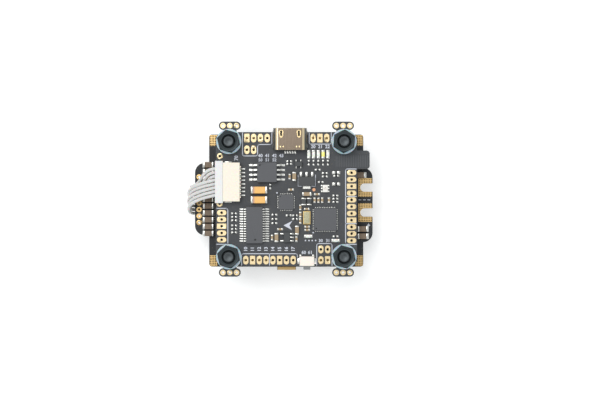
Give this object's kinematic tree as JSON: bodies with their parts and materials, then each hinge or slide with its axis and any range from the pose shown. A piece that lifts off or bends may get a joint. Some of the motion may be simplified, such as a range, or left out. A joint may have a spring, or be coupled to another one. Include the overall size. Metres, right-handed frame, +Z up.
{
  "type": "electronic speed controller stack",
  "caption": "Two-board drone motor controller stack on rubber-bushed screws, with a wire harness, USB socket, solder pads and a side-push boot button.",
  "frame": {"origin": "centre of the four-screw pattern, on the plane of the frame plate that the lower bushes stand on", "axes": "+Z up from the frame plate to the nuts; +Y to the USB socket's edge; -X to the harness side"},
  "size_m": [0.0497, 0.0412, 0.0216],
  "materials": {
    "black_steel": "black zinc, satin",
    "blue_rubber": "soft translucent silicone",
    "esc_mask": "black solder mask over glass-epoxy",
    "fc_mask": "dark grey solder mask over glass-epoxy",
    "gold_plating": "gold flash over copper",
    "tin": "tinned, reflowed",
    "chip_resin": "moulded epoxy",
    "ferrite": "moulded iron powder",
    "ceramic_brown": "fired ceramic",
    "tantalum_orange": "moulded resin",
    "led_white": "clear resin over a white cup",
    "can_gold": "plated lid",
    "header_cream": "natural nylon",
    "plug_white": "white nylon",
    "wire_white": "silicone insulation",
    "usb_steel": "nickel-plated steel",
    "usb_resin": "black liquid-crystal polymer",
    "button_cream": "high-temperature nylon",
    "button_steel": "stainless sheet",
    "plunger_grey": "moulded"
  },
  "bodies": {
    "stack": {"barometer": "can_gold", "boot_button_base": "button_cream", "boot_button_dome": "button_steel", "boot_button_frame": "button_steel", "ceramic_capacitors": "ceramic_brown", "chip_edge_pads": "tin", "esc_board": "esc_mask", "esc_capacitors": "ceramic_brown", "esc_current_shunts": "chip_resin", "esc_edge_pad": "gold_plating", "esc_gate_drivers": "chip_resin", "esc_grommets": "blue_rubber", "esc_header_contacts": "tin", "esc_header_housing": "header_cream", "esc_inductor": "ferrite", "esc_microcontrollers": "chip_resin", "esc_mosfets": "chip_resin", "esc_motor_pads": "gold_plating", "esc_part_ends": "tin", "esc_plug": "plug_white", "esc_power_pads": "gold_plating", "esc_regulator": "chip_resin", "esc_signal_rings": "gold_plating", "fc_board": "fc_mask", "fc_corner_rings": "gold_plating", "fc_grommets": "blue_rubber", "fc_header_contacts": "tin", "fc_header_housing": "header_cream", "fc_plug": "plug_white", "fc_solder_pads": "gold_plating", "gyro_chip": "chip_resin", "harness_wire_1": "wire_white", "harness_wire_2": "wire_white", "harness_wire_3": "wire_white", "harness_wire_4": "wire_white", "harness_wire_5": "wire_white", "harness_wire_6": "wire_white", "harness_wire_7": "wire_white", "harness_wire_8": "wire_white", "memory_chip": "chip_resin", "memory_chip_leads": "tin", "oscillator": "can_gold", "osd_chip": "chip_resin", "osd_chip_leads": "tin", "part_ends": "tin", "processor_chip": "chip_resin", "regulator_chip": "chip_resin", "regulator_leads": "tin", "resistors": "chip_resin", "rgb_led": "led_white", "small_chip_leads": "tin", "small_chips": "chip_resin", "stack_nuts": "black_steel", "stack_screws": "black_steel", "status_leds": "led_white", "tantalum_capacitors": "tantalum_orange", "usb_contacts": "gold_plating", "usb_shell": "usb_steel", "usb_tongue": "usb_resin"},
    "boot_button": {"boot_button_plunger": "plunger_grey"}
  },
  "joints": [
    {"name": "boot_button_press", "type": "slide", "parent": "stack", "child": "boot_button", "axis": [0, 1, 0], "range_m": [0, 0.00025], "stiffness_N_per_m": 6000}
  ]
}
